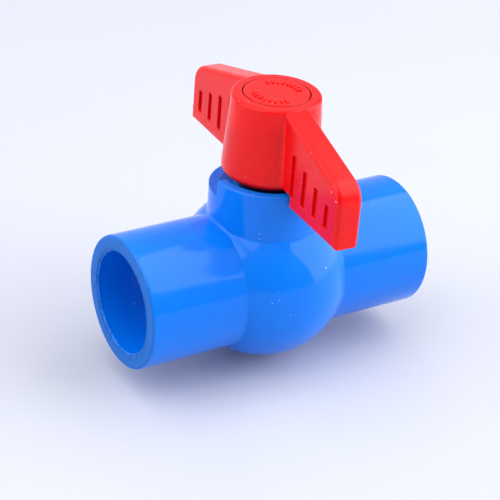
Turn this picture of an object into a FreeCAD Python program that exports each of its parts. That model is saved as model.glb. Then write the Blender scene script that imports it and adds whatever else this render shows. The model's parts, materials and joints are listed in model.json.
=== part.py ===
"""Compact moulded ball valve with two pipe sockets and a two-winged quarter-turn handle.

Every sub-part is drawn about the centre of the ball: X along the pipe, Z up the stem.
Placements then move the whole valve so that the middle of the inlet socket's mouth is the origin.
All lengths are millimetres.
"""
import FreeCAD, Part
import Sketcher
import math
import os
import re

Vector = FreeCAD.Vector

DIMENSIONS = {
    # body
    "half_length": 31.7,
    "socket_radius": 13.3,
    "socket_bore": 10.1,
    "socket_depth": 16.0,
    "mouth_chamfer": 0.4,
    "mouth_round": 0.6,
    "belly_radius": 17.3,
    "belly_blend": 0.5,
    "neck_radius": 11.75,
    "neck_blend": 0.5,
    "ledge_height": 18.9,
    "wall_height": 22.3,
    "wall_inner": 9.7,
    "boss_radius": 7.0,
    "boss_height": 21.6,
    "open_sector_start": 60.0,
    "open_sector_finish": 180.0,
    "rim_round": 0.35,
    # core inside the body
    "core_radius": 14.0,
    "core_gap": 0.05,
    "spigot_radius": 10.5,
    "flow_radius": 6.7,
    "core_hollow": 11.4,
    "split_gap": 0.05,
    "chamber_radius": 6.3,
    # ball and seats
    "ball_radius": 11.0,
    "ball_bore": 6.5,
    "slot_width": 4.3,
    "slot_floor": 8.0,
    "seat_clearance": 0.05,
    "seat_inner": 6.9,
    "seat_outer": 9.0,
    "seat_front": 6.3,
    "seat_back": 9.6,
    "cushion_section": 0.7,
    "cushion_radius": 7.95,
    "pocket_radius": 9.05,
    "pocket_end": 11.1,
    "seal_section": 0.6,
    "seal_radius": 9.95,
    "seal_middle": 13.4,
    "seal_groove_width": 1.5,
    "seal_groove_radius": 9.3,
    # stem
    "stem_radius": 4.5,
    "stem_clearance": 0.05,
    "tongue_width": 4.1,
    "tongue_length": 8.6,
    "tongue_foot": 8.3,
    "flange_foot": 11.5,
    "flange_top": 13.4,
    "flange_radius": 6.0,
    "washer_top": 14.25,
    "chamber_top": 14.3,
    "ring_section": 0.6,
    "ring_radius": 3.9,
    "ring_groove_width": 1.5,
    "ring_groove_radius": 3.25,
    "ring_low": 16.0,
    "ring_high": 19.0,
    "shaft_top": 21.9,
    "square_size": 6.4,
    "square_top": 30.2,
    "pilot_radius": 1.6,
    "pilot_foot": 17.5,
    # handle
    "hub_foot": 22.2,
    "hub_top": 38.8,
    "hub_foot_radius": 9.75,
    "hub_top_radius": 8.7,
    "hub_foot_round": 1.4,
    "hub_top_round": 0.7,
    "wing_reach": 29.65,
    "wing_thickness": 5.3,
    "wing_foot": 20.5,
    "wing_underside": 22.8,
    "wing_inner": 12.05,
    "wing_root": 8.2,
    "wing_root_height": 38.7,
    "wing_tip_height": 32.3,
    "wing_corner": 4.2,
    "wing_round": 1.0,
    "wing_angle": -3.5,
    "groove_first": 13.1,
    "groove_pitch": 4.25,
    "groove_width": 1.5,
    "groove_depth": 0.65,
    "groove_foot": 23.4,
    "groove_margin": 5.3,
    "drive_clearance": 0.05,
    "drive_roof": 30.6,
    "core_out_inner": 5.6,
    "core_out_outer": 7.5,
    "core_out_roof": 29.0,
    "cap_recess": 6.65,
    "cap_recess_floor": 37.0,
    "well_radius": 4.6,
    "well_floor": 33.0,
    "screw_hole": 2.2,
    "lug_inner": 7.4,
    "lug_outer": 11.3,
    "lug_foot": 19.4,
    "lug_top": 24.2,
    "lug_start": 61.5,
    "lug_finish": 88.5,
    # handle screw, washer and cap
    "screw_washer_radius": 4.2,
    "screw_washer_thickness": 0.8,
    "screw_head_radius": 3.6,
    "screw_head_height": 2.2,
    "screw_shank": 1.55,
    "screw_foot": 19.5,
    "recess_arm": 2.0,
    "recess_width": 0.9,
    "recess_depth": 1.3,
    "cap_radius": 6.45,
    "cap_rim_top": 38.95,
    "cap_spigot_outer": 4.5,
    "cap_spigot_inner": 3.9,
    "cap_spigot_foot": 36.4,
    "cap_mark_height": 0.25,
    "cap_mark_radius": 4.4,
    "cap_mark_length": 1.3,
    "cap_mark_width": 0.5,
    "cap_arc_start": 170.0,
    "cap_arc_span": 96.0,
}

ARC_MARKS = 8
WING_GROOVES = 4

doc = FreeCAD.newDocument("ball_valve")
sheet = doc.addObject("Spreadsheet::Sheet", "Dims")
for row, (alias, value) in enumerate(DIMENSIONS.items(), start=1):
    sheet.set("A%d" % row, alias)
    sheet.set("B%d" % row, str(value))
    sheet.setAlias("B%d" % row, alias)
doc.recompute()


def driven(expression):
    """Spreadsheet form of an expression written with bare dimension names."""
    def replace(match):
        word = match.group(0)
        return "Dims." + word if word in DIMENSIONS else word
    return re.sub(r"[a-z_]+", replace, str(expression))


def size(name):
    return sheet.get(name)


# ---------------------------------------------------------------- drawing helpers
def new_body(label, turn=None):
    """Body placed so that the inlet mouth is the origin; turn is its angle about the stem."""
    body = doc.addObject("PartDesign::Body", label)
    body.Label = label
    body.setExpression("Placement.Base.x", driven("half_length"))
    if turn:
        body.Placement = FreeCAD.Placement(Vector(), FreeCAD.Rotation(Vector(0, 0, 1), size(turn)))
        body.setExpression("Placement.Rotation.Angle", driven(turn))
    return body


def new_sketch(body, name, plane, offset=None):
    sketch = body.newObject("Sketcher::SketchObject", name)
    origin_plane = [item for item in body.Origin.OriginFeatures if item.Role == plane + "_Plane"][0]
    sketch.AttachmentSupport = [(origin_plane, "")]
    sketch.MapMode = "FlatFace"
    if offset is not None:
        sketch.setExpression("AttachmentOffset.Base.z", driven(offset))
    return sketch


def drive(sketch, kind, geometry, expression, start):
    """Tie one coordinate of a line's start point, or a radius, to the spreadsheet."""
    if kind == "Radius":
        number = sketch.addConstraint(Sketcher.Constraint("Radius", geometry, start))
    else:
        point = 3 if kind.endswith("Centre") else 1
        axis = kind.replace("Centre", "")
        number = sketch.addConstraint(Sketcher.Constraint(axis, -1, 1, geometry, point, start))
    sketch.setExpression("Constraints[%d]" % number, driven(expression))


def draw_outline(sketch, corners):
    """Closed straight-sided outline whose corners are pairs of expressions."""
    count = len(corners)
    first = sketch.GeometryCount
    rough = []
    for index in range(count):
        angle = 2 * math.pi * index / count
        rough.append(Vector(5 + 3 * math.cos(angle), 5 + 3 * math.sin(angle), 0))
    for index in range(count):
        sketch.addGeometry(Part.LineSegment(rough[index], rough[(index + 1) % count]))
    for index, (across, upward) in enumerate(corners):
        line = first + index
        following = first + (index + 1) % count
        sketch.addConstraint(Sketcher.Constraint("Coincident", line, 2, following, 1))
        drive(sketch, "DistanceX", line, across, rough[index].x)
        drive(sketch, "DistanceY", line, upward, rough[index].y)


def draw_circle(sketch, radius, across="0", upward="0"):
    number = sketch.addGeometry(Part.Circle(Vector(1, 1, 0), Vector(0, 0, 1), 1))
    drive(sketch, "Radius", number, radius, 1.0)
    drive(sketch, "DistanceXCentre", number, across, 1.0)
    drive(sketch, "DistanceYCentre", number, upward, 1.0)


def box_corners(left, right, low, high):
    return [(left, low), (right, low), (right, high), (left, high)]


def turned(body, name, corners, axis, cut=False):
    """Solid of revolution, or a cut, from an outline in the XZ plane. axis is X or Z."""
    sketch = new_sketch(body, name + "_profile", "XZ")
    draw_outline(sketch, corners)
    kind = "PartDesign::Groove" if cut else "PartDesign::Revolution"
    feature = body.newObject(kind, name)
    feature.Profile = sketch
    feature.ReferenceAxis = (sketch, ["H_Axis" if axis == "X" else "V_Axis"])
    feature.Angle = 360
    doc.recompute()
    return feature


def raised(body, name, sketch, length, symmetric=False):
    feature = body.newObject("PartDesign::Pad", name)
    feature.Profile = sketch
    feature.setExpression("Length", driven(length))
    if symmetric:
        feature.SideType = "Symmetric"
    doc.recompute()
    return feature


def sunk(body, name, sketch, depth, reverse=False):
    """Pocket into the material on the sketch's back side, or its front side when reversed."""
    before = body.Shape.Volume
    feature = body.newObject("PartDesign::Pocket", name)
    feature.Profile = sketch
    feature.setExpression("Length", driven(depth))
    feature.Reversed = reverse
    doc.recompute()
    if body.Shape.Volume > before - 1e-3:
        raise ValueError("%s cuts nothing" % name)
    return feature


def ball_shape(body, name, radius, cut=False):
    kind = "PartDesign::SubtractiveSphere" if cut else "PartDesign::AdditiveSphere"
    feature = body.newObject(kind, name)
    feature.setExpression("Radius", driven(radius))
    doc.recompute()
    return feature


def ring_edges(feature, radius, axis, position):
    """Names of full or part circles of one radius whose centre lies at a position along an axis."""
    names = []
    for index, edge in enumerate(feature.Shape.Edges, start=1):
        if edge.Degenerated or not hasattr(edge.Curve, "Radius"):
            continue
        curve = edge.Curve
        centre = getattr(curve.Center, axis)
        if abs(curve.Radius - radius) < 1e-3 and abs(centre - position) < 1e-3:
            names.append("Edge%d" % index)
    return names


def dressed(body, name, kind, edges, amount):
    feature = body.newObject("PartDesign::" + kind, name)
    feature.Base = (feature.BaseFeature, edges)
    feature.setExpression("Size" if kind == "Chamfer" else "Radius", driven(amount))
    doc.recompute()
    return feature


# ---------------------------------------------------------------- body
def make_body_shell():
    """One-piece moulding: two sockets, round belly, neck and collar with the stop wall."""
    body = new_body("body_shell")
    barrel = turned(body, "barrel", box_corners("-half_length", "half_length", "0", "socket_radius"), "X")
    rims = ring_edges(barrel, size("socket_radius"), "x", size("half_length"))
    rims += ring_edges(barrel, size("socket_radius"), "x", -size("half_length"))
    dressed(body, "outer_rims", "Fillet", rims, "mouth_round")
    belly = ball_shape(body, "belly", "belly_radius")
    waist = math.sqrt(size("belly_radius") ** 2 - size("socket_radius") ** 2)
    waists = ring_edges(belly, size("socket_radius"), "x", waist)
    waists += ring_edges(belly, size("socket_radius"), "x", -waist)
    dressed(body, "belly_blends", "Fillet", waists, "belly_blend")

    neck = new_sketch(body, "neck_circle", "XY")
    draw_circle(neck, "neck_radius")
    raised(body, "neck", neck, "ledge_height")
    blend_neck(body)

    wall = new_sketch(body, "stop_wall_ring", "XY", "ledge_height")
    draw_circle(wall, "neck_radius")
    draw_circle(wall, "wall_inner")
    raised(body, "stop_wall", wall, "wall_height - ledge_height")
    sector = new_sketch(body, "open_sector", "XY", "wall_height")
    middle = "(open_sector_start + open_sector_finish) / 2"
    draw_outline(sector, [
        ("0", "0"),
        ("20 * cos(open_sector_start * 1 deg)", "20 * sin(open_sector_start * 1 deg)"),
        ("28 * cos((%s) * 1 deg)" % middle, "28 * sin((%s) * 1 deg)" % middle),
        ("20 * cos(open_sector_finish * 1 deg)", "20 * sin(open_sector_finish * 1 deg)"),
    ])
    sunk(body, "open_sector_cut", sector, "wall_height - ledge_height")
    boss = new_sketch(body, "stem_boss_circle", "XY")
    draw_circle(boss, "boss_radius")
    boss_pad = raised(body, "stem_boss", boss, "boss_height")
    rims = ring_edges(boss_pad, size("neck_radius"), "z", size("wall_height"))
    rims += ring_edges(boss_pad, size("wall_inner"), "z", size("wall_height"))
    dressed(body, "collar_rims", "Fillet", rims, "rim_round")

    half = "half_length"
    stop = "half_length - socket_depth"
    spigot = "spigot_radius + core_gap"
    turned(body, "pipe_way", [
        ("-" + half, "0"), (half, "0"), (half, "socket_bore"), (stop, "socket_bore"), (stop, spigot),
        ("-(%s)" % stop, spigot), ("-(%s)" % stop, "socket_bore"), ("-" + half, "socket_bore"),
    ], "X", cut=True)
    ball_shape(body, "core_cavity", "core_radius + core_gap", cut=True)
    stem_way = turned(body, "stem_way", [
        ("0", "0"), ("chamber_radius", "0"), ("chamber_radius", "chamber_top"),
        ("stem_radius + stem_clearance", "chamber_top"),
        ("stem_radius + stem_clearance", "wall_height + 1"), ("0", "wall_height + 1"),
    ], "Z", cut=True)
    mouths = ring_edges(stem_way, size("socket_bore"), "x", size("half_length"))
    mouths += ring_edges(stem_way, size("socket_bore"), "x", -size("half_length"))
    dressed(body, "mouth_chamfers", "Chamfer", mouths, "mouth_chamfer")
    return body


def blend_neck(body):
    """Small blend where the neck leaves the belly and the sockets."""
    edges = []
    for index, edge in enumerate(body.Tip.Shape.Edges, start=1):
        if edge.Degenerated or edge.BoundBox.ZMax > size("ledge_height") - 1:
            continue
        gaps = [abs(math.hypot(point.x, point.y) - size("neck_radius")) for point in edge.discretize(5)]
        if max(gaps) < 0.01 and edge.BoundBox.ZMin > 1:
            edges.append("Edge%d" % index)
    dressed(body, "neck_blend", "Fillet", edges, "neck_blend")


# ---------------------------------------------------------------- core, ball and seats
def side_of(x_expression, side):
    """Mirror an X position to the inlet (-1) or outlet (+1) side."""
    return x_expression if side > 0 else "-(%s)" % x_expression


def make_core_cup(label, side):
    """Half of the core: a cup round the ball with a spigot that stops the pipe."""
    body = new_body(label)
    near = side_of("split_gap / 2", side)
    far = side_of("half_length - socket_depth", side)
    reach = "core_radius"
    turned(body, "blank", [
        (near, "0"), (far, "0"), (far, "spigot_radius"),
        (side_of("sqrt(core_radius ^ 2 - spigot_radius ^ 2)", side), "spigot_radius"),
        (side_of("sqrt(core_radius ^ 2 - spigot_radius ^ 2)", side), reach), (near, reach),
    ], "X")
    trim_to_ball(body, side)
    ball_shape(body, "ball_room", "core_hollow", cut=True)
    turned(body, "flow_way", [
        ("0", "0"), (far, "0"), (far, "flow_radius"), (side_of("pocket_end", side), "flow_radius"),
        (side_of("pocket_end", side), "pocket_radius"), ("0", "pocket_radius"),
    ], "X", cut=True)
    groove_low = "seal_middle - seal_groove_width / 2"
    groove_high = "seal_middle + seal_groove_width / 2"
    turned(body, "seal_groove", box_corners(
        side_of(groove_low, side), side_of(groove_high, side), "seal_groove_radius", "spigot_radius + 1"),
        "X", cut=True)
    turned(body, "stem_room", box_corners("0", "chamber_radius", "0", "core_radius + 1"), "Z", cut=True)
    return body


def trim_to_ball(body, side):
    """Round the cup's outside: everything beyond the core's ball shape is turned away."""
    sketch = new_sketch(body, "outside_profile", "XZ")
    radius = size("core_radius")
    edge_x = math.sqrt(radius ** 2 - size("spigot_radius") ** 2)
    angle = math.atan2(size("spigot_radius"), edge_x)
    first, last = (angle, math.pi / 2) if side > 0 else (math.pi / 2, math.pi - angle)
    circle = Part.Circle(Vector(), Vector(0, 0, 1), radius)
    sketch.addGeometry(Part.ArcOfCircle(circle, first, last))
    sketch.addConstraint(Sketcher.Constraint("Coincident", 0, 3, -1, 1))
    drive(sketch, "Radius", 0, "core_radius", radius)
    start = Vector(radius * math.cos(first), radius * math.sin(first), 0)
    end = Vector(radius * math.cos(last), radius * math.sin(last), 0)
    outer = [end, Vector(end.x, 16, 0), Vector(start.x, 16, 0), start]
    for number in range(3):
        sketch.addGeometry(Part.LineSegment(outer[number], outer[number + 1]))
    links = [(0, 2, 1, 1), (1, 2, 2, 1), (2, 2, 3, 1), (3, 2, 0, 1)]
    for link in links:
        sketch.addConstraint(Sketcher.Constraint("Coincident", *link))
    sketch.addConstraint(Sketcher.Constraint("Vertical", 1))
    sketch.addConstraint(Sketcher.Constraint("Horizontal", 2))
    sketch.addConstraint(Sketcher.Constraint("Vertical", 3))
    top_point = (0, 2) if side > 0 else (0, 1)
    low_point = (0, 1) if side > 0 else (0, 2)
    sketch.addConstraint(Sketcher.Constraint("PointOnObject", top_point[0], top_point[1], -2))
    number = sketch.addConstraint(
        Sketcher.Constraint("DistanceY", -1, 1, low_point[0], low_point[1], size("spigot_radius")))
    sketch.setExpression("Constraints[%d]" % number, driven("spigot_radius"))
    number = sketch.addConstraint(Sketcher.Constraint("DistanceY", -1, 1, 2, 1, 16.0))
    sketch.setExpression("Constraints[%d]" % number, driven("core_radius + 2"))
    feature = body.newObject("PartDesign::Groove", "outside")
    feature.Profile = sketch
    feature.ReferenceAxis = (sketch, ["H_Axis"])
    feature.Angle = 360
    doc.recompute()


def make_seat(label, side):
    """Soft ring whose inner corner is hollowed to the ball."""
    body = new_body(label)
    turned(body, "ring", box_corners(
        side_of("seat_front", side), side_of("seat_back", side), "seat_inner", "seat_outer"), "X")
    ball_shape(body, "contact_face", "ball_radius + seat_clearance", cut=True)
    return body


def make_round_ring(label, ring_radius, section, position, axis):
    """O-ring or cushion ring about the flow axis (X) or the stem axis (Z)."""
    body = new_body(label)
    sketch = new_sketch(body, "section", "XZ")
    if axis == "X":
        draw_circle(sketch, section, position, ring_radius)
    else:
        draw_circle(sketch, section, ring_radius, position)
    ring = body.newObject("PartDesign::Revolution", "ring")
    ring.Profile = sketch
    ring.ReferenceAxis = (sketch, ["H_Axis" if axis == "X" else "V_Axis"])
    ring.Angle = 360
    doc.recompute()
    return body


def make_ball():
    """Ball with its flow bore across the pipe (valve closed) and a slot for the stem."""
    body = new_body("ball")
    ball_shape(body, "sphere", "ball_radius")
    bore = new_sketch(body, "bore_circle", "XZ")
    draw_circle(bore, "ball_bore")
    cut = body.newObject("PartDesign::Pocket", "flow_bore")
    cut.Profile = bore
    cut.SideType = "Symmetric"
    cut.setExpression("Length", driven("2 * ball_radius + 2"))
    doc.recompute()
    slot = new_sketch(body, "slot_outline", "XY", "ball_radius + 1")
    draw_outline(slot, box_corners("-ball_radius - 1", "ball_radius + 1", "-slot_width / 2", "slot_width / 2"))
    sunk(body, "stem_slot", slot, "ball_radius + 1 - slot_floor")
    return body


# ---------------------------------------------------------------- stem
def make_stem():
    """Stem with a tongue in the ball, a retaining flange, two ring grooves and a square head."""
    body = new_body("stem")
    turned(body, "shaft", [
        ("0", "flange_foot"), ("flange_radius", "flange_foot"), ("flange_radius", "flange_top"),
        ("stem_radius", "flange_top"), ("stem_radius", "shaft_top"), ("0", "shaft_top"),
    ], "Z")
    for name, height in (("lower_groove", "ring_low"), ("upper_groove", "ring_high")):
        turned(body, name, box_corners(
            "ring_groove_radius", "stem_radius + 1",
            height + " - ring_groove_width / 2", height + " + ring_groove_width / 2"), "Z", cut=True)
    tongue = new_sketch(body, "tongue_outline", "XY", "tongue_foot")
    draw_outline(tongue, box_corners(
        "-tongue_length / 2", "tongue_length / 2", "-tongue_width / 2", "tongue_width / 2"))
    raised(body, "tongue", tongue, "flange_foot - tongue_foot + 0.5")
    square = new_sketch(body, "square_outline", "XY", "shaft_top - 0.5")
    draw_outline(square, box_corners(
        "-square_size / 2", "square_size / 2", "-square_size / 2", "square_size / 2"))
    raised(body, "square_head", square, "square_top - shaft_top + 0.5")
    pilot = new_sketch(body, "pilot_circle", "XY", "square_top")
    draw_circle(pilot, "pilot_radius")
    sunk(body, "screw_pilot", pilot, "square_top - pilot_foot")
    return body


def make_thrust_washer():
    body = new_body("thrust_washer")
    turned(body, "disc", box_corners(
        "stem_radius + 0.1", "flange_radius", "flange_top + 0.05", "washer_top"), "Z")
    return body


# ---------------------------------------------------------------- handle
def wing_top(distance):
    """Height of a wing's sloping top at a distance from the stem axis."""
    slope = "(wing_root_height - wing_tip_height) / (wing_reach - wing_root)"
    return "wing_root_height - %s * (%s - wing_root)" % (slope, distance)


def make_handle():
    """Tapered hub with two grooved wings, a square drive below and a screw well above."""
    body = new_body("handle", turn="wing_angle")
    hub = turned(body, "hub", [
        ("0", "hub_foot"), ("hub_foot_radius", "hub_foot"), ("hub_top_radius", "hub_top"), ("0", "hub_top"),
    ], "Z")
    top_edge = ring_edges(hub, size("hub_top_radius"), "z", size("hub_top"))
    rounded = dressed(body, "hub_top_edge", "Fillet", top_edge, "hub_top_round")
    foot_edge = ring_edges(rounded, size("hub_foot_radius"), "z", size("hub_foot"))
    dressed(body, "hub_foot_edge", "Fillet", foot_edge, "hub_foot_round")
    join = body.newObject("PartDesign::Boolean", "wings_joined")
    join.Type = "Fuse"
    join.setObjects([make_wings()])
    doc.recompute()
    cut_wing_grooves(body)
    add_stop_lug(body)
    cut_handle_insides(body)
    return body


def make_wings():
    """Both wings as one plate across the stem axis, with rounded tip corners and rims."""
    body = doc.addObject("PartDesign::Body", "handle_wings")
    outline = new_sketch(body, "wing_outline", "YZ")
    draw_outline(outline, [
        ("-wing_reach", "wing_foot"), ("-wing_inner", "wing_foot"), ("-wing_inner", "wing_underside"),
        ("wing_inner", "wing_underside"), ("wing_inner", "wing_foot"), ("wing_reach", "wing_foot"),
        ("wing_reach", "wing_tip_height"), ("wing_root", "wing_root_height"),
        ("-wing_root", "wing_root_height"), ("-wing_reach", "wing_tip_height"),
    ])
    raised(body, "plate", outline, "wing_thickness", symmetric=True)
    corners = []
    for index, edge in enumerate(body.Tip.Shape.Edges, start=1):
        box = edge.BoundBox
        at_tip = abs(abs(box.Center.y) - size("wing_reach")) < 0.01
        if box.XLength > 1 and at_tip and box.ZMin > size("wing_tip_height") - 0.1:
            corners.append("Edge%d" % index)
    dressed(body, "wing_corners", "Fillet", corners, "wing_corner")
    rims = []
    for index, edge in enumerate(body.Tip.Shape.Edges, start=1):
        if edge.BoundBox.XLength < 0.01:
            rims.append("Edge%d" % index)
    dressed(body, "wing_rims", "Fillet", rims, "wing_round")
    return body


def cut_wing_grooves(body):
    """Finger grooves in both faces of both wings, shorter towards the tips."""
    for name, side in (("front", 1), ("back", -1)):
        face = "%d * wing_thickness / 2" % side
        sketch = new_sketch(body, name + "_groove_outlines", "YZ", face)
        for number in range(WING_GROOVES):
            distance = "(groove_first + %d * groove_pitch)" % number
            top = wing_top(distance) + " - groove_margin"
            for wing in ("", "-"):
                draw_outline(sketch, box_corners(
                    "%s%s - groove_width / 2" % (wing, distance),
                    "%s%s + groove_width / 2" % (wing, distance), "groove_foot", top))
        sunk(body, name + "_grooves", sketch, "groove_depth", reverse=side < 0)


def add_stop_lug(body):
    """Block under the hub that meets the ends of the collar's stop wall."""
    def corner(radius, angle):
        turn = "((%s - wing_angle) * 1 deg)" % angle
        return ("%s * cos%s" % (radius, turn), "%s * sin%s" % (radius, turn))
    middle = "((lug_start + lug_finish) / 2)"
    sketch = new_sketch(body, "stop_lug_outline", "XY", "lug_foot")
    draw_outline(sketch, [
        corner("lug_inner", "lug_start"), corner("lug_outer", "lug_start"), corner("lug_outer", middle),
        corner("lug_outer", "lug_finish"), corner("lug_inner", "lug_finish"),
    ])
    raised(body, "stop_lug", sketch, "lug_top - lug_foot")


def cut_handle_insides(body):
    turned(body, "cap_recess_and_well", [
        ("0", "drive_roof - 1"), ("screw_hole", "drive_roof - 1"), ("screw_hole", "well_floor"),
        ("well_radius", "well_floor"), ("well_radius", "cap_recess_floor"),
        ("cap_recess", "cap_recess_floor"), ("cap_recess", "hub_top + 1"), ("0", "hub_top + 1"),
    ], "Z", cut=True)
    turned(body, "lightening_ring", box_corners(
        "core_out_inner", "core_out_outer", "hub_foot - 1", "core_out_roof"), "Z", cut=True)
    drive_hole = new_sketch(body, "drive_hole_outline", "XY", "hub_foot")
    drive_hole.AttachmentOffset = FreeCAD.Placement(
        Vector(), FreeCAD.Rotation(Vector(0, 0, 1), -size("wing_angle")))
    drive_hole.setExpression("AttachmentOffset.Base.z", driven("hub_foot"))
    drive_hole.setExpression("AttachmentOffset.Rotation.Angle", driven("-wing_angle"))
    half = "square_size / 2 + drive_clearance"
    draw_outline(drive_hole, box_corners("-(%s)" % half, half, "-(%s)" % half, half))
    sunk(body, "drive_hole", drive_hole, "drive_roof - hub_foot", reverse=True)


# ---------------------------------------------------------------- screw, washer, cap
def make_screw_washer():
    body = new_body("screw_washer")
    turned(body, "disc", box_corners(
        "screw_hole", "screw_washer_radius", "well_floor + 0.02",
        "well_floor + 0.02 + screw_washer_thickness"), "Z")
    return body


def make_handle_screw():
    """Pan-head screw; the thread is left as a plain shank."""
    body = new_body("handle_screw")
    seat = "well_floor + screw_washer_thickness + 0.04"
    head = turned(body, "blank", [
        ("0", "screw_foot"), ("screw_shank", "screw_foot + 1.5"), ("screw_shank", seat),
        ("screw_head_radius", seat), ("screw_head_radius", seat + " + screw_head_height"),
        ("0", seat + " + screw_head_height"),
    ], "Z")
    top = size("well_floor") + size("screw_washer_thickness") + 0.04 + size("screw_head_height")
    dressed(body, "head_round", "Fillet", ring_edges(head, size("screw_head_radius"), "z", top), "0.8")
    cross = new_sketch(body, "cross_outline", "XY", seat + " + screw_head_height")
    arm = "recess_arm"
    half = "recess_width / 2"
    draw_outline(cross, [
        (half, half), (half, arm), ("-" + half, arm), ("-" + half, half), ("-" + arm, half),
        ("-" + arm, "-" + half), ("-" + half, "-" + half), ("-" + half, "-" + arm),
        (half, "-" + arm), (half, "-" + half), (arm, "-" + half), (arm, half),
    ])
    sunk(body, "cross_recess", cross, "recess_depth")
    return body


def make_handle_cap():
    """Push-in cap with a spigot in the screw well and two facing arcs of small raised ticks."""
    body = new_body("handle_cap", turn="wing_angle")
    disc = turned(body, "disc", [
        ("0", "cap_recess_floor + 0.02"), ("cap_spigot_inner", "cap_recess_floor + 0.02"),
        ("cap_spigot_inner", "cap_spigot_foot"), ("cap_spigot_outer", "cap_spigot_foot"),
        ("cap_spigot_outer", "cap_recess_floor + 0.02"), ("cap_radius", "cap_recess_floor + 0.02"),
        ("cap_radius", "cap_rim_top"), ("0", "cap_rim_top"),
    ], "Z")
    dressed(body, "rim", "Fillet", ring_edges(disc, size("cap_radius"), "z", size("cap_rim_top")), "0.35")
    add_tick_arc(body, "front", "cap_arc_start")
    add_tick_arc(body, "back", "cap_arc_start + 180")
    return body


def add_tick_arc(body, name, start):
    """Arc of raised ticks on the cap: one bar at the start angle, then a polar pattern of it."""
    tick = new_sketch(body, name + "_tick_outline", "XY", "cap_rim_top")
    tick.setExpression("AttachmentOffset.Rotation.Angle", driven(start))
    draw_outline(tick, box_corners(
        "cap_mark_radius - cap_mark_length / 2", "cap_mark_radius + cap_mark_length / 2",
        "-cap_mark_width / 2", "cap_mark_width / 2"))
    tick_pad = raised(body, name + "_tick", tick, "cap_mark_height")
    pattern = body.newObject("PartDesign::PolarPattern", name + "_ticks")
    pattern.Originals = [tick_pad]
    axis = [item for item in body.Origin.OriginFeatures if item.Role == "Z_Axis"][0]
    pattern.Axis = (axis, [""])
    pattern.setExpression("Angle", driven("cap_arc_span"))
    pattern.Occurrences = ARC_MARKS
    body.Tip = pattern
    doc.recompute()


# ---------------------------------------------------------------- assembly
def make_all():
    parts = [make_body_shell()]
    for end, side in (("inlet", -1), ("outlet", 1)):
        parts.append(make_core_cup("core_cup_" + end, side))
        parts.append(make_seat("ball_seat_" + end, side))
        cushion_middle = side_of("seat_back + cushion_section + 0.05", side)
        parts.append(make_round_ring(
            "seat_cushion_" + end, "cushion_radius", "cushion_section", cushion_middle, "X"))
        parts.append(make_round_ring(
            "core_seal_" + end, "seal_radius - 0.02", "seal_section", side_of("seal_middle", side), "X"))
    parts.append(make_ball())
    parts.append(make_stem())
    parts.append(make_round_ring("stem_ring_lower", "ring_radius", "ring_section", "ring_low", "Z"))
    parts.append(make_round_ring("stem_ring_upper", "ring_radius", "ring_section", "ring_high", "Z"))
    parts.append(make_thrust_washer())
    parts.append(make_handle())
    parts.append(make_screw_washer())
    parts.append(make_handle_screw())
    parts.append(make_handle_cap())
    return parts


def write_parts(parts):
    for item in doc.Objects:
        if "Invalid" in item.State or "Error" in item.State:
            raise ValueError("%s is in error" % item.Name)
    os.makedirs("parts", exist_ok=True)
    for part in parts:
        shape = part.Shape
        if shape.isNull() or not shape.isValid() or len(shape.Solids) != 1:
            raise ValueError("%s has a bad shape" % part.Label)
        shape.exportStep("parts/%s.step" % part.Label)


write_parts(make_all())
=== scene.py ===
"""Studio picture of a compact moulded ball valve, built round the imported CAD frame. Metres."""

import json
import math

import bmesh
import bpy
from mathutils import Matrix, Vector


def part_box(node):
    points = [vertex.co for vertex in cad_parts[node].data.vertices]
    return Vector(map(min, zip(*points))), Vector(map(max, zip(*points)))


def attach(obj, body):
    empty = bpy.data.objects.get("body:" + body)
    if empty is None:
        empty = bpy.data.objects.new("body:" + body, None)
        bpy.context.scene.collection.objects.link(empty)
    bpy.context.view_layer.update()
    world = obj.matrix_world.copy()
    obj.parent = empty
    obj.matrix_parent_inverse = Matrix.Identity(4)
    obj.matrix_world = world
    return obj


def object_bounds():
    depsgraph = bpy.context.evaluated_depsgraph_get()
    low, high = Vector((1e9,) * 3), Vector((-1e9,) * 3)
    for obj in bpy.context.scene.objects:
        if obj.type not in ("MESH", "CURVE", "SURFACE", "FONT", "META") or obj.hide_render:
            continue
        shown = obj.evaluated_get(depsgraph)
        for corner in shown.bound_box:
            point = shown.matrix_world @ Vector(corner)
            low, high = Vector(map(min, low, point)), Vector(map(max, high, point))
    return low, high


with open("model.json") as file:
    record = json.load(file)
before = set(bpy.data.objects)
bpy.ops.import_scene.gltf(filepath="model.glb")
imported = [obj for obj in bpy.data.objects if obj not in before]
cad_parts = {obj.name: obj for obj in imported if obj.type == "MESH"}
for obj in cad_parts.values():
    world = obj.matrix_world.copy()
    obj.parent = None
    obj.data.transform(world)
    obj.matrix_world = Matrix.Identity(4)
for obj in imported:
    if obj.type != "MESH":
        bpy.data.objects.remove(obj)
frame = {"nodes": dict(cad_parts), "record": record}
cad_low, cad_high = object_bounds()

MM = 0.001

ball_low, ball_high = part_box("ball")
CENTRE = (Vector(ball_low) + Vector(ball_high)) / 2
STEM_X = CENTRE.x
MOUTH_OUT = STEM_X  # from the stem out to each mouth, because the inlet's is at X = 0

# Places on the valve: radii about the pipe or the stem, and heights.
SOCKET_BORE = 10.1 * MM
STEM_RADIUS = 4.5 * MM
WALL_INNER = 9.7 * MM
LEDGE = CENTRE.z + 18.9 * MM
WALL_TOP = CENTRE.z + 22.3 * MM
HUB_FOOT = CENTRE.z + 22.2 * MM
HUB_TOP = CENTRE.z + 38.8 * MM
CAP_JOINT = 6.54 * MM

# Seen from above, the part of the collar where its wall is cut away, from the X axis.
OPENING_MIDDLE = math.radians(120)
OPENING_HALF = math.radians(60)

# ---------------------------------------------------------------- camera
AZIMUTH = math.radians(-33.4)
ELEVATION = math.radians(29.7)
ROLL = math.radians(4.74)
DISTANCE = 0.350
LENS = 125.7
SIDE_SHIFT = -0.0026
HEIGHT_SHIFT = 0.0035


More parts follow.
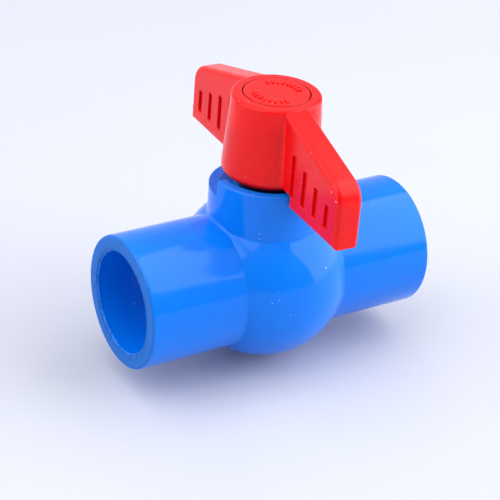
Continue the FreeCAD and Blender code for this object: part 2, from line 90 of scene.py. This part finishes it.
def camera_axes():
    """Right, up and back of the camera before its roll."""
    back = Vector((
        math.sin(AZIMUTH) * math.cos(ELEVATION),
        -math.cos(AZIMUTH) * math.cos(ELEVATION),
        math.sin(ELEVATION),
    ))
    right = Vector((math.cos(AZIMUTH), math.sin(AZIMUTH), 0))
    return right, back.cross(right), back


def place_camera():
    right, up, back = camera_axes()
    target = Vector((STEM_X, 0, 0)) + right * SIDE_SHIFT + up * HEIGHT_SHIFT
    data = bpy.data.cameras.new("photo_camera")
    data.lens = LENS
    data.sensor_width = 36
    data.clip_start = 0.01
    camera = bpy.data.objects.new("photo_camera", data)
    bpy.context.collection.objects.link(camera)
    rolled_right = right * math.cos(ROLL) + up * math.sin(ROLL)
    rolled_up = up * math.cos(ROLL) - right * math.sin(ROLL)
    turn = Matrix((rolled_right, rolled_up, back)).transposed()
    camera.matrix_world = Matrix.Translation(target + back * DISTANCE) @ turn.to_4x4()
    bpy.context.scene.camera = camera


place_camera()
bpy.context.scene.view_settings.view_transform = "Standard"


# ---------------------------------------------------------------- finishes
RANGE_SOCKETS = ("From Min", "From Max", "To Min", "To Max")
DUST_COLOUR = (0.86, 0.90, 1.0)


class Finish:
    """One procedural material: a Principled shader and short calls for the nodes that feed it."""

    def __init__(self, name, **constants):
        self.material = bpy.data.materials.new(name)
        self.material.use_nodes = True
        self.tree = self.material.node_tree
        self.shader = self.tree.nodes["Principled BSDF"]
        self.place = self.node("ShaderNodeTexCoord").outputs["Object"]
        for socket, value in constants.items():
            self.shader.inputs[socket.replace("_", " ")].default_value = value

    def node(self, kind, **settings):
        made = self.tree.nodes.new(kind)
        for key, value in settings.items():
            setattr(made, key, value)
        return made

    def feed(self, socket, source):
        if hasattr(source, "links"):
            self.tree.links.new(source, socket)
        else:
            socket.default_value = source

    def noise(self, scale, detail=3.0, roughness=0.5, where=None, distortion=0.0):
        """Smooth random value from 0 to 1; scale is in features per metre."""
        made = self.node("ShaderNodeTexNoise")
        self.feed(made.inputs["Vector"], where or self.place)
        made.inputs["Scale"].default_value = scale
        made.inputs["Detail"].default_value = detail
        made.inputs["Roughness"].default_value = roughness
        made.inputs["Distortion"].default_value = distortion
        return made.outputs["Fac"]

    def stretched(self, factors, turn=(0, 0, 0)):
        """Coordinates squeezed along some axes, for streaks and scratches."""
        made = self.node("ShaderNodeMapping")
        self.feed(made.inputs["Vector"], self.place)
        made.inputs["Scale"].default_value = factors
        made.inputs["Rotation"].default_value = turn
        return made.outputs["Vector"]

    def ramp(self, source, low, high, bottom=0.0, top=1.0):
        """Value remapped from low..high to bottom..top and held at the ends."""
        made = self.node("ShaderNodeMapRange")
        self.feed(made.inputs["Value"], source)
        for socket, value in zip(RANGE_SOCKETS, (low, high, bottom, top)):
            made.inputs[socket].default_value = value
        return made.outputs["Result"]

    def maths(self, kind, first, second=0.0):
        made = self.node("ShaderNodeMath", operation=kind)
        self.feed(made.inputs[0], first)
        self.feed(made.inputs[1], second)
        return made.outputs[0]

    def times(self, first, second):
        return self.maths("MULTIPLY", first, second)

    def plus(self, first, second):
        return self.maths("ADD", first, second)

    def length(self, across, along):
        return self.maths("SQRT", self.plus(self.times(across, across), self.times(along, along)))

    def mix(self, amount, first, second):
        """Colour between first and second."""
        made = self.node("ShaderNodeMix", data_type="RGBA")
        self.feed(made.inputs["Factor"], amount)
        for socket, value in zip((made.inputs[6], made.inputs[7]), (first, second)):
            self.feed(socket, value if hasattr(value, "links") else (*value, 1))
        return made.outputs[2]

    def axes(self):
        made = self.node("ShaderNodeSeparateXYZ")
        self.feed(made.inputs[0], self.place)
        return made.outputs

    def specks(self, scale, size, share):
        """Mask of small round specks: a share of the cells carry one of that size in cells."""
        cells = self.node("ShaderNodeTexVoronoi")
        self.feed(cells.inputs["Vector"], self.place)
        cells.inputs["Scale"].default_value = scale
        dot = self.ramp(cells.outputs["Distance"], size, size * 0.5)
        pick = self.node("ShaderNodeSeparateColor")
        self.feed(pick.inputs[0], cells.outputs["Color"])
        return self.times(dot, self.maths("LESS_THAN", pick.outputs[0], share))

    def edges(self, radius):
        """Mask of the convex and concave edges, from rounded against true normals."""
        soft = self.node("ShaderNodeBevel", samples=4)
        soft.inputs["Radius"].default_value = radius
        true = self.node("ShaderNodeNewGeometry").outputs["Normal"]
        dot = self.node("ShaderNodeVectorMath", operation="DOT_PRODUCT")
        self.feed(dot.inputs[0], soft.outputs[0])
        self.feed(dot.inputs[1], true)
        return self.ramp(dot.outputs["Value"], 0.99, 0.80)

    def bump(self, height, distance, strength=1.0, under=None):
        """Surface relief of that height in metres, laid over the relief under it."""
        made = self.node("ShaderNodeBump")
        made.inputs["Strength"].default_value = strength
        made.inputs["Distance"].default_value = distance
        self.feed(made.inputs["Height"], height)
        if under is not None:
            self.feed(made.inputs["Normal"], under)
        return made.outputs["Normal"]

    def finish(self, colour, roughness, normal=None):
        self.feed(self.shader.inputs["Base Color"], colour)
        self.feed(self.shader.inputs["Roughness"], roughness)
        if normal is not None:
            self.feed(self.shader.inputs["Normal"], normal)
        return self.material


def scratches(finish, scale, turns, width=0.012):
    """Mask of fine hairline scratches lying in a few directions."""
    total = None
    for number, turn in enumerate(turns):
        where = finish.stretched((1.0, 0.06, 1.0 + 0.3 * number), turn)
        field = finish.noise(scale * (1 + 0.23 * number), 1.0, 0.5, where, 0.4)
        away = finish.maths("ABSOLUTE", finish.maths("SUBTRACT", field, 0.5))
        line = finish.ramp(away, width, 0.0)
        total = line if total is None else finish.maths("MAXIMUM", total, line)
    patches = finish.ramp(finish.noise(scale * 0.3, 2.0), 0.52, 0.68)
    return finish.times(total, patches)


def moulded_plastic(
        name, base, deep, light, rough, speck, relief=1.0, edge=0.25, wear_and_highlight=(1, 1, 1), gloss=0.3):
    """Moulded plastic: cloudy pigment, soft flow marks, rims paler from rubbing and painted
    highlight, orange peel, dust, hairlines.

    rough is the roughness, speck the share of cells with a dust speck, relief the height of the
    orange peel against a coarse moulding, and edge how far the rims turn to their paler colour,
    partly rubbed and partly painted highlight.
    """
    made = Finish(name, IOR=1.5, Specular_IOR_Level=gloss)
    cloud = made.noise(90, 4.0, 0.55)
    flow = made.noise(55, 5.0, 0.6, made.stretched((1.0, 0.35, 0.5), (0.3, 0.2, 0.5)), 1.2)
    fine = made.noise(1400, 3.0, 0.6)
    # Rims turn paler: partly rubbed, partly a painted highlight along the edges.
    rim_patches = made.ramp(made.noise(700, 4.0, 0.7), 0.38, 0.62)
    rims = made.times(made.edges(0.45 * MM), rim_patches)
    lines = scratches(made, 420, ((0, 0, 0.4), (0.9, 0.3, 1.9), (0.4, 1.1, 2.7)))
    large_dust = made.specks(330, 0.055, speck)
    small_dust = made.specks(820, 0.085, speck * 0.6)
    dust = made.maths("MAXIMUM", large_dust, small_dust)

    colour = made.mix(made.ramp(cloud, 0.35, 0.7), base, deep)
    colour = made.mix(made.ramp(flow, 0.50, 0.72, 0.0, 0.35), colour, light)
    colour = made.mix(made.ramp(fine, 0.45, 0.75, 0.0, 0.12), colour, light)
    colour = made.mix(made.times(rims, edge), colour, wear_and_highlight)
    colour = made.mix(made.times(lines, 0.06), colour, light)
    colour = made.mix(made.times(dust, 0.75), colour, DUST_COLOUR)

    rough_value = made.ramp(made.noise(240, 4.0, 0.6), 0.3, 0.7, rough * 0.85, rough * 1.25)
    for mask, extra in ((lines, 0.08), (dust, 0.35), (rims, 0.10)):
        rough_value = made.plus(rough_value, made.times(mask, extra))

    normal = made.bump(made.noise(130, 2.0, 0.5), 0.12 * MM * relief, 0.55)
    normal = made.bump(made.noise(900, 3.0, 0.55), 0.018 * MM * relief, 0.6, normal)
    normal = made.bump(lines, 0.003 * MM, 0.5, normal)
    normal = made.bump(dust, 0.03 * MM, 0.8, normal)
    return made, colour, rough_value, normal


def mouth_grime(made, y, z, from_middle):
    """Mask of the flash and grime crumbs round the inner edge of both socket mouths."""
    away = made.length(y, z)
    outer = made.ramp(away, SOCKET_BORE + 1.6 * MM, SOCKET_BORE + 1.0 * MM)
    inner = made.ramp(away, SOCKET_BORE - 0.1 * MM, SOCKET_BORE + 0.1 * MM)
    at_mouth = made.ramp(from_middle, MOUTH_OUT - 1.2 * MM, MOUTH_OUT - 0.3 * MM)
    crumbs = made.ramp(made.noise(1500, 3.0, 0.7), 0.52, 0.60)
    return made.times(made.times(made.times(outer, inner), at_mouth), crumbs)


def collar_gap_shade(made, along, y, z):
    """Mask of painted shade between the hub and the collar's stop wall."""
    out = made.length(along, y)
    inside = made.ramp(out, WALL_INNER + 0.15 * MM, WALL_INNER - 0.05 * MM)
    outside = made.ramp(out, STEM_RADIUS, STEM_RADIUS + 0.2 * MM)
    below = made.ramp(z, WALL_TOP - 0.2 * MM, WALL_TOP - 0.6 * MM)
    above = made.ramp(z, LEDGE - 0.9 * MM, LEDGE - 0.4 * MM)
    gap_shade = made.times(made.times(made.times(inside, outside), below), above)
    # The painted shade is weaker where the wall is cut away and light reaches in.
    sine, cosine = math.sin(OPENING_MIDDLE), math.cos(OPENING_MIDDLE)
    into_opening = made.plus(made.times(y, sine), made.times(along, cosine))
    beyond = made.maths("SUBTRACT", into_opening, made.times(out, math.cos(OPENING_HALF)))
    return made.times(gap_shade, made.ramp(beyond, -0.4 * MM, 0.2 * MM, 1.0, 0.45))


def blue_body():
    made, colour, rough, normal = moulded_plastic(
        "body_blue", (0.0, 0.182, 0.81), (0.0, 0.165, 0.76), (0.002, 0.205, 0.88),
        0.115, 0.12, relief=0.35, edge=0.30, wear_and_highlight=(0.02, 0.32, 0.98), gloss=0.26)
    x, y, z = made.axes()
    along = made.maths("SUBTRACT", x, STEM_X)
    from_middle = made.maths("ABSOLUTE", along)
    grime = mouth_grime(made, y, z, from_middle)
    # Painted shade: dark between the hub and the collar's stop wall.
    gap_shade = collar_gap_shade(made, along, y, z)
    # Mouth end faces: matt and darker, partly their own rougher face, partly painted shade.
    matt_end_face_and_shade = made.ramp(from_middle, MOUTH_OUT - 0.3 * MM, MOUTH_OUT - 0.1 * MM)
    for mask, cover, shade, matt in (
            (grime, 0.70, (0.004, 0.020, 0.16), 0.30),
            (gap_shade, 0.93, (0.001, 0.006, 0.04), 0.50),
            (matt_end_face_and_shade, 0.75, (0.0, 0.11, 0.42), 0.40)):
        colour = made.mix(made.times(mask, cover), colour, shade)
        rough = made.plus(rough, made.times(mask, matt))
    return made.finish(colour, rough, made.bump(grime, 0.06 * MM, 0.8, normal))


def red_handle():
    made, colour, rough, normal = moulded_plastic(
        "handle_red", (0.80, 0.003, 0.004), (0.69, 0.002, 0.004), (0.89, 0.007, 0.006),
        0.19, 0.07, relief=0.6, edge=0.35, wear_and_highlight=(0.98, 0.07, 0.06), gloss=0.25)
    # Painted shade darkens the bottom of the hub, which stands inside the collar.
    x, y, z = made.axes()
    out = made.length(made.maths("SUBTRACT", x, STEM_X), y)
    low = made.ramp(z, HUB_FOOT + 1.4 * MM, HUB_FOOT + 0.4 * MM)
    foot_shade = made.times(low, made.ramp(out, WALL_INNER + 0.3 * MM, WALL_INNER))
    colour = made.mix(made.times(foot_shade, 0.85), colour, (0.05, 0.001, 0.002))
    # The joint between the cap and the hub is painted as a darker line.
    inner = made.ramp(out, CAP_JOINT - 0.24 * MM, CAP_JOINT - 0.12 * MM)
    outer = made.ramp(out, CAP_JOINT + 0.24 * MM, CAP_JOINT + 0.12 * MM)
    top = made.ramp(z, HUB_TOP - 0.8 * MM, HUB_TOP - 0.4 * MM)
    joint = made.times(made.times(inner, outer), top)
    colour = made.mix(made.times(joint, 0.75), colour, (0.40, 0.002, 0.003))
    return made.finish(colour, made.plus(rough, made.times(foot_shade, 0.35)), normal)


def pale_core():
    made, colour, rough, normal = moulded_plastic(
        "core_white", (0.74, 0.75, 0.77), (0.66, 0.67, 0.70), (0.80, 0.80, 0.80),
        0.34, 0.15, edge=0.2, wear_and_highlight=(0.86, 0.86, 0.86))
    return made.finish(colour, rough, normal)


def ball_white():
    made, colour, rough, normal = moulded_plastic(
        "ball_white", (0.84, 0.84, 0.82), (0.78, 0.78, 0.76), (0.90, 0.90, 0.88),
        0.14, 0.08, relief=0.4, edge=0.1, wear_and_highlight=(0.92, 0.92, 0.90))
    return made.finish(colour, rough, normal)


def seat_white():
    made = Finish("seat_soft_white", IOR=1.38)
    cloud = made.noise(300, 4.0, 0.6)
    lathe = made.node("ShaderNodeTexWave", wave_type="RINGS", rings_direction="X")
    made.feed(lathe.inputs["Vector"], made.place)
    lathe.inputs["Scale"].default_value = 900
    lathe.inputs["Distortion"].default_value = 1.5
    colour = made.mix(made.ramp(cloud, 0.3, 0.7), (0.86, 0.86, 0.83), (0.78, 0.78, 0.75))
    normal = made.bump(lathe.outputs["Fac"], 0.01 * MM, 0.5)
    return made.finish(colour, made.ramp(cloud, 0.3, 0.7, 0.42, 0.55), normal)


def black_rubber():
    made = Finish("ring_black", IOR=1.45)
    bloom = made.noise(420, 4.0, 0.65)
    grain = made.noise(3200, 3.0, 0.6)
    colour = made.mix(made.ramp(bloom, 0.4, 0.75), (0.012, 0.012, 0.013), (0.045, 0.045, 0.048))
    normal = made.bump(grain, 0.01 * MM, 0.6)
    return made.finish(colour, made.ramp(bloom, 0.3, 0.7, 0.48, 0.68), normal)


def bright_steel():
    made = Finish("screw_bright", Metallic=1.0)
    cloud = made.noise(500, 4.0, 0.6)
    turning = made.node("ShaderNodeTexWave", wave_type="RINGS", rings_direction="Z")
    made.feed(turning.inputs["Vector"], made.place)
    turning.inputs["Scale"].default_value = 1200
    turning.inputs["Distortion"].default_value = 0.8
    colour = made.mix(made.ramp(cloud, 0.35, 0.7), (0.66, 0.66, 0.67), (0.55, 0.54, 0.52))
    normal = made.bump(turning.outputs["Fac"], 0.006 * MM, 0.6)
    return made.finish(colour, made.ramp(cloud, 0.3, 0.7, 0.20, 0.36), normal)


FINISHES = {
    "body_plastic": blue_body(),
    "handle_plastic": red_handle(),
    "core_plastic": pale_core(),
    "ball_plastic": ball_white(),
    "seat_plastic": seat_white(),
    "ring_rubber": black_rubber(),
    "screw_steel": bright_steel(),
}
for subpart in frame["record"]["subparts"]:
    node = frame["nodes"][subpart["node"]]
    for holder in node.material_slots:
        holder.material = FINISHES[subpart["material_slot"]]


# ---------------------------------------------------------------- moulded details of the handle
# Millimetres about the ball's centre, before the handle's small turn.
WING_ANGLE = math.radians(-3.5)
WING_HALF = 2.65
WING_REACH = 29.65
WING_ROUND = 1.0
HUB_LOW, HUB_HIGH = (22.2, 9.75), (38.8, 8.7)
WEB_RADIUS = 0.8
WEB_LOW, WEB_HIGH = 23.5, 37.3
WEB_STEPS = 40
WEB_ARC_STEPS = 10
WEB_GROWS_OVER, WEB_SHRINKS_OVER = 0.9, 1.6
WEB_END_SHARE = 0.12
WEB_SINK = 0.08
PARTING_HEIGHT = 23.1
PARTING_START = 13.2
PARTING_CORNER_STEPS = 8
PARTING_SECTION = ((-0.08, 0.10), (0.05, 0.055), (0.05, -0.055), (-0.08, -0.10))


def handle_point(x, y, z):
    """Point in the frame from millimetres about the ball's centre, turned with the handle."""
    turned_x = x * math.cos(WING_ANGLE) - y * math.sin(WING_ANGLE)
    turned_y = x * math.sin(WING_ANGLE) + y * math.cos(WING_ANGLE)
    return CENTRE + Vector((turned_x, turned_y, z)) * MM


def add_sweep(mesh_data, rings):
    """Closed tube through rings of points that all have the same count, with flat ends."""
    rows = [[mesh_data.verts.new(point) for point in ring] for ring in rings]
    count = len(rows[0])
    for row, following in zip(rows, rows[1:]):
        for index in range(count):
            after = (index + 1) % count
            mesh_data.faces.new((row[index], row[after], following[after], following[index]))
    mesh_data.faces.new(list(reversed(rows[0])))
    mesh_data.faces.new(rows[-1])


def finish_piece(name, mesh_data):
    """Turn the swept tubes into a red piece that goes round with the handle."""
    bmesh.ops.recalc_face_normals(mesh_data, faces=mesh_data.faces)
    mesh = bpy.data.meshes.new(name)
    mesh_data.to_mesh(mesh)
    mesh_data.free()
    mesh.shade_smooth()
    mesh.set_sharp_from_angle(angle=math.radians(40))
    mesh.materials.append(FINISHES["handle_plastic"])
    piece = bpy.data.objects.new(name, mesh)
    bpy.context.collection.objects.link(piece)
    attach(piece, "handle_and_stem")


def hub_radius(z):
    """Radius of the tapered hub at a height."""
    share = (z - HUB_LOW[0]) / (HUB_HIGH[0] - HUB_LOW[0])
    return HUB_LOW[1] + (HUB_HIGH[1] - HUB_LOW[1]) * share


def web_section(z, across, along):
    """Outline of the web between wing and hub at one height.

    It is a concave arc touching both, closed by three points sunk in them. The arc is small at
    both ends of the web. across and along are 1 or -1, for the web's side of the handle.
    """
    grown = (z - WEB_LOW) / WEB_GROWS_OVER + WEB_END_SHARE
    left = (WEB_HIGH - z) / WEB_SHRINKS_OVER + WEB_END_SHARE
    radius = WEB_RADIUS * min(1.0, grown, left)
    hub = hub_radius(z)
    centre_x = WING_HALF + radius
    centre_y = math.sqrt((hub + radius) ** 2 - centre_x ** 2)
    start = math.pi
    finish = math.atan2(-centre_y, -centre_x) + 2 * math.pi
    ring = []
    for step in range(WEB_ARC_STEPS + 1):
        angle = start + (finish - start) * step / WEB_ARC_STEPS
        ring.append((centre_x + radius * math.cos(angle), centre_y + radius * math.sin(angle)))
    touch = hub / (hub + radius)
    ring.append((centre_x * touch - WEB_SINK, centre_y * touch - 0.10))
    ring.append((WING_HALF - WEB_SINK, math.sqrt(hub ** 2 - WING_HALF ** 2) - 0.15))
    ring.append((WING_HALF - WEB_SINK, centre_y))
    return [handle_point(x * across, y * along, z) for x, y in ring]


def add_wing_webs():
    """Concave webs where both faces of both wings leave the hub."""
    mesh_data = bmesh.new()
    for across in (1, -1):
        for along in (1, -1):
            rings = []
            for step in range(WEB_STEPS + 1):
                z = WEB_LOW + (WEB_HIGH - WEB_LOW) * step / WEB_STEPS
                rings.append(web_section(z, across, along))
            add_sweep(mesh_data, rings)
    finish_piece("wing_root_webs", mesh_data)


def wing_outline():
    """Points and outward directions round a wing's outer end, from one face to the other."""
    corner_x, corner_y = WING_HALF - WING_ROUND, WING_REACH - WING_ROUND
    half = [((WING_HALF, PARTING_START), (1, 0)), ((WING_HALF, corner_y), (1, 0))]
    for step in range(1, PARTING_CORNER_STEPS):
        angle = math.radians(90 * step / PARTING_CORNER_STEPS)
        out_x, out_y = math.cos(angle), math.sin(angle)
        point = (corner_x + WING_ROUND * out_x, corner_y + WING_ROUND * out_y)
        half.append((point, (out_x, out_y)))
    half.append(((corner_x, WING_REACH), (0, 1)))
    return half + [((-x, y), (-out_x, out_y)) for (x, y), (out_x, out_y) in reversed(half)]


def add_parting_lines():
    """Fine raised line the mould leaves round the outer end of each wing."""
    mesh_data = bmesh.new()
    for along in (1, -1):
        rings = []
        for (x, y), (out_x, out_y) in wing_outline():
            ring = []
            for proud, rise in PARTING_SECTION:
                across = x + out_x * proud
                outward = (y + out_y * proud) * along
                ring.append(handle_point(across, outward, PARTING_HEIGHT + rise))
            rings.append(ring)
        add_sweep(mesh_data, rings)
    finish_piece("wing_parting_lines", mesh_data)


add_wing_webs()
add_parting_lines()


# ---------------------------------------------------------------- floor and light
FLOOR_GAP = 0.5 * MM
FLOOR_SIZE = 8
BACKDROP_SIDE = (-0.5, 0.85, 0)


def floor_paint_and_light():
    made = Finish("floor_paint_and_light")
    cloud = made.noise(7, 3.0, 0.5)
    colour = made.mix(made.ramp(cloud, 0.3, 0.7), (0.555, 0.575, 0.64), (0.535, 0.555, 0.62))
    # Painted light: far out, where the softboxes don't reach, the floor is made lighter.
    away = made.node("ShaderNodeVectorMath", operation="LENGTH")
    made.feed(away.inputs[0], made.place)
    colour = made.mix(made.ramp(away.outputs["Value"], 0.35, 1.6), colour, (0.93, 0.94, 0.97))
    return made.finish(colour, 0.55, made.bump(made.noise(900, 3.0), 0.04 * MM, 0.2))


def add_floor():
    bpy.ops.mesh.primitive_plane_add(size=FLOOR_SIZE, location=(STEM_X, 0, cad_low[2] - FLOOR_GAP))
    floor = bpy.context.object
    floor.name = "floor"
    floor.data.materials.append(floor_paint_and_light())


def add_softbox(name, direction, distance, size, power, mirrored=True):
    """Rectangular area light on a line out from the ball's centre, aimed back at it."""
    data = bpy.data.lights.new(name, "AREA")
    data.shape = "RECTANGLE"
    data.size, data.size_y = size
    data.energy = power
    light = bpy.data.objects.new(name, data)
    bpy.context.collection.objects.link(light)
    out = Vector(direction).normalized()
    light.location = CENTRE + out * distance
    light.rotation_euler = (-out).to_track_quat("-Z", "Y").to_euler()
    light.visible_camera = False
    light.visible_glossy = mirrored


def add_world():
    """Studio air: bright behind and to the left, dimmer on the photographer's side."""
    world = bpy.data.worlds.new("studio")
    bpy.context.scene.world = world
    world.use_nodes = True
    tree = world.node_tree

    def ramp(source, low, high, bottom, top):
        made = tree.nodes.new("ShaderNodeMapRange")
        tree.links.new(source, made.inputs["Value"])
        for socket, value in zip(RANGE_SOCKETS, (low, high, bottom, top)):
            made.inputs[socket].default_value = value
        return made.outputs["Result"]

    place = tree.nodes.new("ShaderNodeTexCoord").outputs["Generated"]
    towards = tree.nodes.new("ShaderNodeVectorMath")
    towards.operation = "DOT_PRODUCT"
    tree.links.new(place, towards.inputs[0])
    towards.inputs[1].default_value = BACKDROP_SIDE
    split = tree.nodes.new("ShaderNodeSeparateXYZ")
    tree.links.new(place, split.inputs[0])
    total = tree.nodes.new("ShaderNodeMath")
    tree.links.new(ramp(towards.outputs["Value"], -0.25, 0.70, 0.26, 0.92), total.inputs[0])
    tree.links.new(ramp(split.outputs["Z"], 0.50, 0.95, 0.0, 0.45), total.inputs[1])
    background = tree.nodes["Background"]
    tree.links.new(total.outputs[0], background.inputs["Strength"])
    background.inputs["Color"].default_value = (0.95, 0.95, 1.0, 1)


add_floor()
add_world()
add_softbox("right_softbox", (0.79, -0.33, 0.60), 0.75, (0.95, 1.15), 8.0)
add_softbox("left_softbox", (-0.88, 0.12, 0.46), 0.70, (0.70, 0.60), 2.3)
add_softbox("top_softbox", (-0.28, -0.02, 0.96), 0.85, (0.65, 0.65), 2.1)
add_softbox("front_fill", (0.55, -0.72, 0.38), 0.90, (1.10, 0.60), 3.4, mirrored=False)
